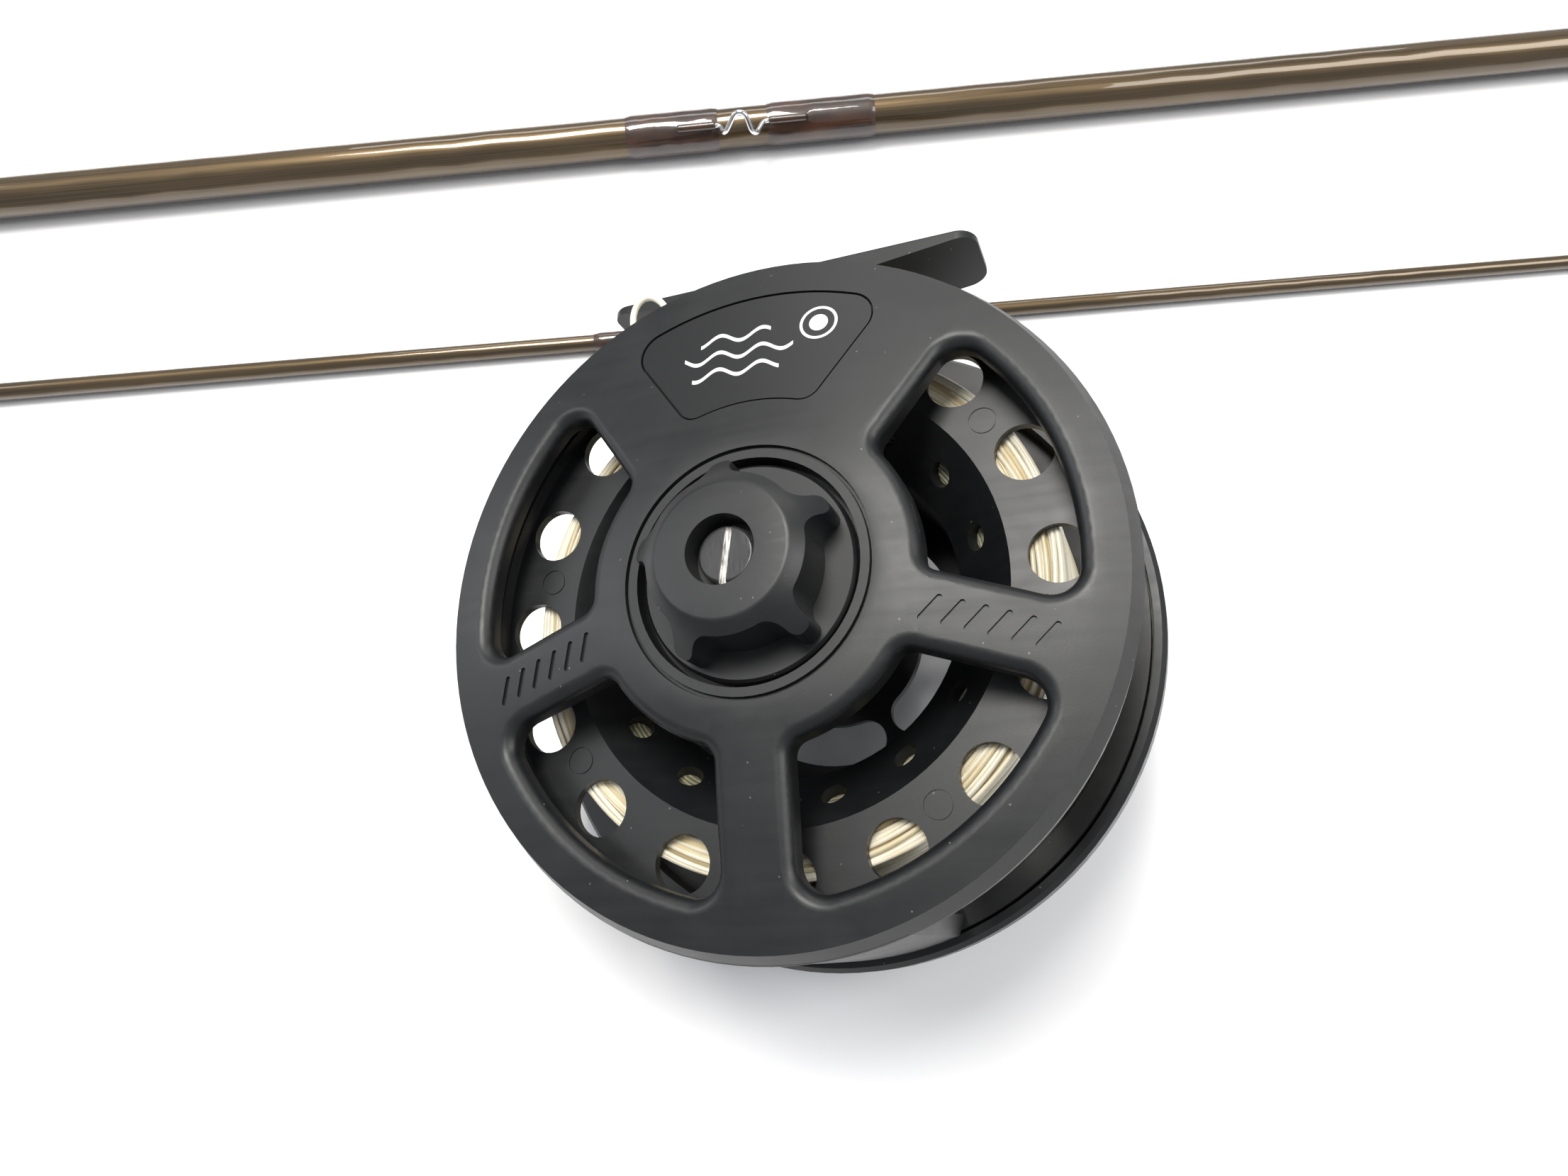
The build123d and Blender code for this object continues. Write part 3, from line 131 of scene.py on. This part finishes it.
# ---------------------------------------------------------------------------
# materials
# ---------------------------------------------------------------------------
class Shader:
    """A Principled material and the nodes that feed it. Its coordinates are in millimetres."""

    def __init__(self, name, colour, roughness, **sockets):
        self.material = bpy.data.materials.new(name)
        self.material.use_nodes = True
        self.tree = self.material.node_tree
        self.surface = self.tree.nodes["Principled BSDF"]
        self.set("Base Color", self.colour_of(colour))
        self.set("Roughness", roughness)
        for socket, value in sockets.items():
            self.set(socket.replace("_", " "), value)

    @staticmethod
    def colour_of(colour):
        return (*colour, 1.0)

    def set(self, socket, value):
        self.surface.inputs[socket].default_value = value

    def feed(self, socket, output):
        self.tree.links.new(output, self.surface.inputs[socket])

    def node(self, kind, values=None, **settings):
        made = self.tree.nodes.new("ShaderNode" + kind)
        for key, value in settings.items():
            setattr(made, key, value)
        for key, value in (values or {}).items():
            if isinstance(value, bpy.types.NodeSocket):
                self.tree.links.new(value, made.inputs[key])
            else:
                made.inputs[key].default_value = value
        return made

    def place(self, own_frame=None, stretch=(1, 1, 1)):
        """Coordinates in millimetres, in the row's frame or in own_frame, divided by stretch."""
        source = self.node("TexCoord").outputs["Object"]
        if own_frame is not None:
            source = self.node("Mapping", {
                "Vector": source, "Location": own_frame.translation,
                "Rotation": own_frame.to_euler()}, vector_type="TEXTURE").outputs["Vector"]
        scale = Vector([1000 / s for s in stretch])
        return self.node("VectorMath", {0: source, 1: scale}, operation="MULTIPLY").outputs["Vector"]

    def noise(self, where, scale, detail=2.0, roughness=0.5, distortion=0.0):
        return self.node("TexNoise", {"Vector": where, "Scale": scale, "Detail": detail,
                                      "Roughness": roughness, "Distortion": distortion}).outputs["Fac"]

    def maths(self, operation, *values):
        return self.node("Math", dict(enumerate(values)), operation=operation).outputs[0]

    def ramp(self, value, low, high, start=0.0, end=1.0):
        return self.node("MapRange", {"Value": value, "From Min": low, "From Max": high,
                                      "To Min": start, "To Max": end}).outputs["Result"]

    def mix(self, share, first, second):
        first, second = (colour if isinstance(colour, bpy.types.NodeSocket) else
                         self.colour_of(colour) for colour in (first, second))
        return self.node("MixRGB", {"Fac": share, "Color1": first, "Color2": second}).outputs["Color"]

    def bump(self, height, strength, depth_mm, under=None):
        values = {"Height": height, "Strength": strength, "Distance": depth_mm * MM}
        if under is not None:
            values["Normal"] = under
        return self.node("Bump", values).outputs["Normal"]

    def specks(self, where, scale, size):
        """Small scattered dots: 1 inside a dot and 0 between them."""
        cells = self.node("TexVoronoi", {"Vector": where, "Scale": scale, "Randomness": 1.0})
        reach = self.maths("MULTIPLY", self.noise(where, scale * 0.7), size)
        return self.maths("LESS_THAN", cells.outputs["Distance"], reach)


def moulded_composite(name, colour, roughness=0.42, dust=0.3):
    """Satin moulded plastic with a fine spark-eroded grain, faint handling marks and dust."""
    shader = Shader(name, colour, roughness, Specular_IOR_Level=0.5)
    where = shader.place(REEL)
    grain = shader.noise(where, 5.0, 4.0, 0.6)
    cloud = shader.noise(where, 0.09, 3.0, 0.55, 0.6)
    rubbed = shader.noise(shader.place(REEL, (14, 1.2, 4)), 0.8, 3.0)
    tone = shader.maths("ADD", shader.maths("MULTIPLY", cloud, 0.6),
                        shader.maths("MULTIPLY", rubbed, 0.4))
    lighter = [c * 1.35 + 0.001 for c in colour]
    body = shader.mix(shader.ramp(tone, 0.35, 0.7), colour, lighter)
    fluff = shader.specks(where, 0.33, 0.085)
    fluff = shader.maths("MULTIPLY", fluff, dust)
    shader.feed("Base Color", shader.mix(fluff, body, (0.35, 0.34, 0.32)))
    shader.feed("Roughness", shader.ramp(tone, 0.3, 0.75, roughness - 0.06, roughness + 0.07))
    shader.feed("Normal", shader.bump(grain, 0.22, 0.03))
    return shader.material


def badge_print():
    """Smooth inset with a printed motif of three ripples beside a small ring."""
    shader = Shader("badge_print", (0.012, 0.012, 0.013), 0.38)
    where = shader.place(REEL)
    split = shader.node("SeparateXYZ", {"Vector": where})
    x, y = split.outputs["X"], split.outputs["Y"]
    printed = None
    for start, end, height in ((-9.0, 4.5, 31.0), (-10.5, 6.5, 34.0), (-8.0, 3.0, 37.0)):
        swell = shader.maths("MULTIPLY", shader.maths("SINE", shader.maths("MULTIPLY", x, 0.95)), 0.75)
        gap = shader.maths("ABSOLUTE", shader.maths("SUBTRACT", y, shader.maths("ADD", swell, height)))
        reach = shader.maths("ABSOLUTE", shader.maths("SUBTRACT", x, (start + end) / 2))
        inside = shader.maths("LESS_THAN", reach, (end - start) / 2)
        line = shader.maths("MULTIPLY", shader.maths("LESS_THAN", gap, 0.33), inside)
        printed = line if printed is None else shader.maths("MAXIMUM", printed, line)
    for radius, thickness in ((2.6, 0.22), (0.7, 0.7)):
        apart = shader.node("VectorMath", {0: where, 1: (10.2, 36.6, 0.0)}, operation="SUBTRACT")
        flat = shader.node("VectorMath", {0: apart.outputs["Vector"], 1: (1, 1, 0)},
                           operation="MULTIPLY")
        length = shader.node("VectorMath", {0: flat.outputs["Vector"]}, operation="LENGTH")
        off = shader.maths("ABSOLUTE", shader.maths("SUBTRACT", length.outputs["Value"], radius))
        printed = shader.maths("MAXIMUM", printed, shader.maths("LESS_THAN", off, thickness))
    worn = shader.ramp(shader.noise(where, 7.0, 3.0), 0.25, 0.4)
    shader.feed("Base Color", shader.mix(shader.maths("MULTIPLY", printed, worn),
                                         (0.009, 0.0095, 0.0105), (0.7, 0.71, 0.72)))
    shader.feed("Normal", shader.bump(shader.noise(where, 4.0, 3.0), 0.12, 0.02))
    return shader.material


def turned_metal(name, colour, roughness, centre=None):
    """Metal with fine turning marks, and a little staining."""
    shader = Shader(name, colour, roughness, Metallic=1.0)
    where = shader.place(centre)
    marks = shader.noise(shader.place(centre, (6, 6, 0.15)), 1.2, 2.0)
    stain = shader.noise(where, 0.35, 4.0)
    shader.feed("Base Color", shader.mix(shader.ramp(stain, 0.4, 0.8), colour,
                                         [c * 0.72 for c in colour]))
    shader.feed("Roughness", shader.ramp(stain, 0.3, 0.8, roughness, roughness + 0.15))
    shader.feed("Normal", shader.bump(marks, 0.25, 0.02))
    return shader.material


def screw_head():
    """Blackened screw; the slot of the one on the reel's axis is worn bright."""
    top = reel_profile("knob_screw")[3] / MM
    shader = Shader("blackened_screw", (0.03, 0.03, 0.032), 0.32)
    where = shader.place(REEL)
    split = shader.node("SeparateXYZ", {"Vector": where})
    height = split.outputs["Z"]
    across = shader.maths("ABSOLUTE", split.outputs["Y"])
    scratched = shader.noise(shader.place(REEL, (0.4, 4, 0.4)), 1.5, 3.0)
    bright = shader.maths("LESS_THAN", height, top - 0.25)
    bright = shader.maths("MULTIPLY", bright, shader.maths("LESS_THAN", across, 6.0))
    bright = shader.maths("MULTIPLY", bright, shader.ramp(scratched, 0.3, 0.55))
    shader.feed("Base Color", shader.mix(bright, (0.03, 0.03, 0.032), (0.75, 0.73, 0.7)))
    shader.feed("Metallic", bright)
    shader.feed("Roughness", shader.ramp(scratched, 0.2, 0.8, 0.2, 0.45))
    return shader.material


def varnished_blank():
    """Bronze carbon blank under clear gloss varnish, ground along its length."""
    shader = Shader("varnished_blank", (0.1, 0.066, 0.03), 0.34, Metallic=0.8,
                    Coat_Weight=1.0, Coat_Roughness=0.03, Coat_IOR=1.55)
    streaks = shader.noise(shader.place(None, (60, 0.35, 0.35)), 1.0, 4.0)
    cloud = shader.noise(shader.place(None, (30, 4, 4)), 0.5, 3.0)
    tone = shader.maths("ADD", shader.maths("MULTIPLY", streaks, 0.6),
                        shader.maths("MULTIPLY", cloud, 0.4))
    shader.feed("Base Color", shader.mix(shader.ramp(tone, 0.3, 0.7), (0.062, 0.041, 0.019),
                                         (0.15, 0.1, 0.048)))
    shader.feed("Roughness", shader.ramp(tone, 0.3, 0.7, 0.3, 0.42))
    shader.feed("Normal", shader.bump(streaks, 0.12, 0.03))
    return shader.material


def epoxied_thread():
    """Dark brown whipping thread, its turns showing faintly through a thick clear coat."""
    shader = Shader("epoxied_thread", (0.045, 0.017, 0.009), 0.4, Coat_Weight=1.0,
                    Coat_Roughness=0.03, Coat_IOR=1.55)
    where = shader.place()
    turns = shader.node("TexWave", {"Vector": where, "Scale": 1.3, "Distortion": 0.25,
                                    "Detail": 1.0}, bands_direction="X").outputs["Fac"]
    depth = shader.noise(shader.place(None, (5, 1.5, 1.5)), 0.6, 3.0)
    warm = shader.mix(shader.ramp(depth, 0.35, 0.7), (0.018, 0.007, 0.003), (0.075, 0.026, 0.01))
    shader.feed("Base Color", shader.mix(shader.maths("MULTIPLY", turns, 0.3), warm,
                                         (0.012, 0.006, 0.004)))
    shader.feed("Normal", shader.bump(turns, 0.3, 0.04))
    shader.feed("Coat Normal", shader.bump(depth, 0.25, 0.25))
    return shader.material


def chromed_wire():
    shader = Shader("chromed_wire", (0.82, 0.83, 0.85), 0.09, Metallic=1.0)
    where = shader.place()
    shader.feed("Roughness", shader.ramp(shader.noise(where, 1.5, 3.0), 0.3, 0.8, 0.06, 0.22))
    shader.feed("Normal", shader.bump(shader.noise(where, 3.0, 2.0), 0.1, 0.02))
    return shader.material


def ivory_line(name, colour, shade):
    """Smooth coated line with a painted golden-brown shade, mixed in by a share that differs from turn to turn
    where the mesh has one, and by slow patches.
    """
    shader = Shader(name, colour, 0.33, Coat_Weight=0.25, Coat_Roughness=0.2)
    where = shader.place(REEL)
    turn_shade_share = shader.node("Attribute", attribute_name="turn_shade_share").outputs["Fac"]
    # slow patches of the line's painted shade
    painted_shade_patches = shader.noise(where, 0.25, 4.0)
    tone = shader.maths("ADD", shader.maths("MULTIPLY", turn_shade_share, 0.6),
                        shader.maths("MULTIPLY", painted_shade_patches, 0.5))
    # mixes the line's colour towards its painted golden-brown shade
    shader.feed("Base Color", shader.mix(shader.ramp(tone, 0.2, 0.85), colour, shade))
    shader.feed("Normal", shader.bump(shader.noise(where, 6.0, 2.0), 0.1, 0.02))
    return shader.material


def wound_backing():
    """Fine braided backing, laid in close turns round the spool."""
    shader = Shader("wound_backing", (0.6, 0.55, 0.36), 0.75, Sheen_Weight=0.3)
    where = shader.place(REEL)
    turns = shader.node("TexWave", {"Vector": where, "Scale": 0.7, "Distortion": 1.4,
                                    "Detail": 2.0}, bands_direction="Z").outputs["Fac"]
    weave = shader.noise(where, 3.5, 3.0)
    tone = shader.maths("MULTIPLY", turns, weave)
    shader.feed("Base Color", shader.mix(shader.ramp(tone, 0.05, 0.5), (0.22, 0.21, 0.1),
                                         (0.68, 0.64, 0.45)))
    shader.feed("Normal", shader.bump(turns, 0.6, 0.25))
    return shader.material


def natural_cork(name, size, light, dark):
    """Cork with its pores, darker lenticels and the glue lines between its rings."""
    shader = Shader(name, light, 0.78, Specular_IOR_Level=0.25)
    where = shader.place()
    grain = shader.noise(where, 0.55 / size, 5.0, 0.65, 0.8)
    pores = shader.node("TexVoronoi", {"Vector": shader.place(None, (2.6 * size, size, size)),
                                       "Scale": 0.7}).outputs["Distance"]
    patch = shader.maths("MULTIPLY", shader.ramp(pores, 0.18, 0.05),
                         shader.ramp(shader.noise(where, 0.16 / size, 3.0), 0.5, 0.62))
    rings = shader.node("TexWave", {"Vector": where, "Scale": 0.0785 / size, "Distortion": 0.05},
                        bands_direction="X", wave_profile="SAW").outputs["Fac"]
    seam = shader.maths("LESS_THAN", rings, 0.022)
    base = shader.mix(shader.ramp(grain, 0.35, 0.7), light, [c * 0.72 for c in light])
    pitted = shader.mix(patch, base, dark)
    shader.feed("Base Color", shader.mix(shader.maths("MULTIPLY", seam, 0.55), pitted, dark))
    low = shader.maths("SUBTRACT", grain, patch)
    shader.feed("Normal", shader.bump(low, 0.5, 0.25 * size))
    return shader.material


def anodised_seat():
    """Gunmetal anodised aluminium with fine turning marks round the seat."""
    shader = Shader("anodised_seat", (0.1, 0.092, 0.085), 0.3, Metallic=1.0, Coat_Weight=0.15,
                    Coat_Roughness=0.25)
    marks = shader.noise(shader.place(None, (0.12, 8, 8)), 1.0, 3.0)
    stain = shader.noise(shader.place(), 0.12, 4.0)
    shader.feed("Base Color", shader.mix(shader.ramp(stain, 0.35, 0.75), (0.115, 0.105, 0.098),
                                         (0.075, 0.07, 0.067)))
    shader.feed("Roughness", shader.ramp(marks, 0.3, 0.7, 0.24, 0.4))
    shader.feed("Normal", shader.bump(marks, 0.3, 0.015))
    return shader.material


def matt_rubber():
    shader = Shader("matt_rubber", (0.02, 0.02, 0.021), 0.8)
    where = shader.place()
    shader.feed("Base Color", shader.mix(shader.ramp(shader.noise(where, 0.4, 4.0), 0.4, 0.75),
                                         (0.016, 0.016, 0.017), (0.045, 0.043, 0.041)))
    shader.feed("Normal", shader.bump(shader.noise(where, 3.0, 4.0), 0.5, 0.08))
    return shader.material


def polished_ceramic():
    shader = Shader("polished_ceramic", (0.02, 0.021, 0.024), 0.08, Coat_Weight=0.6)
    where = shader.place()
    shader.feed("Roughness", shader.ramp(shader.noise(where, 1.0, 3.0), 0.3, 0.8, 0.05, 0.2))
    return shader.material


def slots_to_materials():
    steel = (0.56, 0.56, 0.57)
    return {
        "black_composite": moulded_composite("black_composite", (0.0066, 0.0072, 0.0082)),
        "black_spool": moulded_composite("black_spool", (0.0062, 0.0068, 0.0078), 0.4, 0.25),
        "badge": badge_print(),
        "steel": turned_metal("turned_steel", steel, 0.25, REEL),
        "cork_washer": natural_cork("pressed_cork", 0.4, (0.42, 0.25, 0.12), (0.12, 0.06, 0.03)),
        "brass": turned_metal("turned_brass", (0.7, 0.5, 0.22), 0.25, REEL),
        "black_screw": screw_head(),
        # the second colour is the line's painted golden-brown shade
        "fly_line": ivory_line("ivory_line", (0.87, 0.84, 0.72), (0.7, 0.58, 0.34)),
        "backing": wound_backing(),
        "blank": varnished_blank(),
        "whipping": epoxied_thread(),
        "chrome": chromed_wire(),
        "cork": natural_cork("natural_cork", 1.0, (0.6, 0.4, 0.21), (0.16, 0.08, 0.035)),
        "seat_metal": anodised_seat(),
        "rubber": matt_rubber(),
        "ceramic": polished_ceramic(),
    }


def even_shading(piece):
    """Smooth where a surface is smooth and crisp where it has an edge."""
    weld = piece.modifiers.new("join_corners", "WELD")
    weld.merge_threshold = JOIN_DISTANCE
    split = piece.modifiers.new("crisp_edges", "EDGE_SPLIT")
    split.split_angle = math.radians(CRISP_ANGLE)
    split.use_edge_sharp = False
    piece.modifiers.new("even_normals", "WEIGHTED_NORMAL")


def dress_nodes(materials):
    """Gives every CAD node the material of its slot in the record."""
    for subpart in frame["record"]["subparts"]:
        piece = frame["nodes"][subpart["node"]]
        material = materials[subpart["material_slot"]]
        if not piece.material_slots:
            piece.data.materials.append(material)
        for slot in piece.material_slots:
            slot.material = material
        even_shading(piece)


# ---------------------------------------------------------------------------
# line
# ---------------------------------------------------------------------------
def loop_of_line(material):
    """Slack loop of line that stands out past the back plate's edge."""
    curve = bpy.data.curves.new("loop_of_line", "CURVE")
    curve.dimensions = "3D"
    curve.bevel_depth = LINE_DIAMETER / 2
    curve.bevel_resolution = 4
    curve.resolution_u = 12
    curve.use_fill_caps = True
    spline = curve.splines.new("NURBS")
    spline.points.add(len(LOOP_ROUTE) - 1)
    places = [REEL @ (Vector(point) * MM) for point in LOOP_ROUTE]
    for point, place in zip(spline.points, places):
        point.co = (*place, 1.0)
    spline.order_u = 3
    spline.use_endpoint_u = True
    curve.materials.append(material)
    loop = bpy.data.objects.new("loop_of_line", curve)
    bpy.context.scene.collection.objects.link(loop)
    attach(loop, "reel")
    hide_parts("line_loop")


def turn_of_line(vertices, faces, radius, height, limits, rng):
    """One uneven turn of line round the reel's axis, added to vertices and faces."""
    waves = [(count, rng.uniform(0.05, 0.3) * MM, rng.uniform(0, 6.28), rng.uniform(0, 6.28))
             for count in (1, 2, 3, 5)]
    inner, outer, low, high = limits
    thick = TURN_DIAMETER / 2
    first = len(vertices)
    for step in range(TURN_STEPS):
        angle = 2 * math.pi * step / TURN_STEPS
        r = radius + sum(a * math.sin(k * angle + p) for k, a, p, q in waves)
        z = height + sum(0.6 * a * math.sin(k * angle + q) for k, a, p, q in waves)
        r = min(max(r, inner + thick), outer - thick)
        z = min(max(z, low + thick), high - thick)
        for side in range(TURN_SIDES):
            turn = 2 * math.pi * side / TURN_SIDES
            out = r + thick * math.cos(turn)
            place = Vector((out * math.cos(angle), out * math.sin(angle), z + thick * math.sin(turn)))
            vertices.append(REEL @ place)
    for step in range(TURN_STEPS):
        here = first + step * TURN_SIDES
        after = first + (step + 1) % TURN_STEPS * TURN_SIDES
        for side in range(TURN_SIDES):
            other = (side + 1) % TURN_SIDES
            faces.append((here + side, after + side, after + other, here + other))


def wound_line(material):
    """The fly line on the spool: uneven turns over a core of the same shape."""
    inner, outer, low, high = reel_profile("fly_line")
    rng = random.Random(7)
    pitch = TURN_PITCH * TURN_DIAMETER
    limits = (inner, outer, low, high)
    places = []
    rows = int((high - low) / pitch)
    for row in range(rows):
        places.append((outer - TURN_DIAMETER * rng.uniform(0.5, 1.3), low + (row + 0.5) * pitch))
    for face in (high, low):
        side = 1 if face == low else -1
        for column in range(int((outer - inner) / pitch)):
            places.append((inner + (column + 0.5) * pitch,
                           face + side * TURN_DIAMETER * rng.uniform(0.5, 1.2)))
    vertices, faces, turn_shade_shares = [], [], []
    for radius, height in places:
        before = len(vertices)
        turn_of_line(vertices, faces, radius, height, limits, rng)
        # each turn's share of the line's painted golden-brown shade
        turn_shade_shares += [rng.random()] * (len(vertices) - before)
    core_inner, core_outer = inner + 0.2 * MM, outer - CORE_INSET
    core_high, core_low = high - CORE_INSET, low + CORE_INSET
    core = [(core_inner, core_high), (core_outer, core_high), (core_outer, core_low),
            (core_inner, core_low)]
    first = len(vertices)
    for step in range(CORE_STEPS):
        angle = 2 * math.pi * step / CORE_STEPS
        for radius, height in core:
            vertices.append(REEL @ Vector((radius * math.cos(angle), radius * math.sin(angle), height)))
            # the core under the turns takes the full painted shade
            turn_shade_shares.append(1.0)
    for step in range(CORE_STEPS):
        here, after = first + 4 * step, first + 4 * ((step + 1) % CORE_STEPS)
        for corner in range(4):
            other = (corner + 1) % 4
            faces.append((here + corner, here + other, after + other, after + corner))
    mesh = bpy.data.meshes.new("wound_line")
    mesh.from_pydata(vertices, [], faces)
    mesh.shade_smooth()
    mesh.attributes.new("turn_shade_share", "FLOAT", "POINT").data.foreach_set("value", turn_shade_shares)
    mesh.materials.append(material)
    piece = bpy.data.objects.new("wound_line", mesh)
    bpy.context.scene.collection.objects.link(piece)
    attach(piece, "spool_assembly")
    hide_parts("fly_line")


# ---------------------------------------------------------------------------
# surroundings
# ---------------------------------------------------------------------------
def floor():
    shader = Shader("pale_floor", (0.9, 0.9, 0.92), 0.1, Specular_IOR_Level=0.6)
    shader.feed("Roughness", shader.ramp(shader.noise(shader.place(), 0.02, 3.0), 0.3, 0.7, 0.08, 0.13))
    mesh = bpy.data.meshes.new("floor")
    corners = [(x * FLOOR_HALF, y * FLOOR_HALF, 0) for x, y in ((-1, -1), (1, -1), (1, 1), (-1, 1))]
    mesh.from_pydata(corners, [], [(0, 1, 2, 3)])
    mesh.materials.append(shader.material)
    made = bpy.data.objects.new("floor", mesh)
    made.location.z = cad_box[0].z - FLOOR_GAP
    bpy.context.scene.collection.objects.link(made)


def area_light(name, offset, size, power, colour=(1, 1, 1)):
    """A soft box that faces the reel."""
    data = bpy.data.lights.new(name, "AREA")
    data.shape = "RECTANGLE"
    data.size, data.size_y = size
    data.energy = power
    data.color = colour
    made = bpy.data.objects.new(name, data)
    made.location = REEL.translation + Vector(offset)
    made.rotation_euler = (-Vector(offset)).to_track_quat("-Z", "Y").to_euler()
    bpy.context.scene.collection.objects.link(made)


def studio():
    world = bpy.data.worlds.new("studio")
    world.use_nodes = True
    background = world.node_tree.nodes["Background"]
    background.inputs["Color"].default_value = (0.93, 0.96, 1.0, 1.0)
    background.inputs["Strength"].default_value = 0.4
    bpy.context.scene.world = world
    area_light("ceiling", (-0.2, 0.4, 1.05), (0.5, 0.4), 13, (1.0, 0.98, 0.93))
    area_light("left", (-1.0, 0.4, 0.55), (0.3, 0.7), 3, (0.96, 0.98, 1.0))
    area_light("right", (0.7, 0.0, 0.85), (0.5, 0.8), 7, (1.0, 0.99, 0.96))
    area_light("window", (0.1, 1.25, 0.7), (1.4, 0.3), 5, (1.0, 0.98, 0.95))
    bpy.context.scene.view_settings.view_transform = "Standard"


camera()
materials = slots_to_materials()
loop_of_line(materials["fly_line"])
wound_line(materials["fly_line"])
dress_nodes(materials)
floor()
studio()
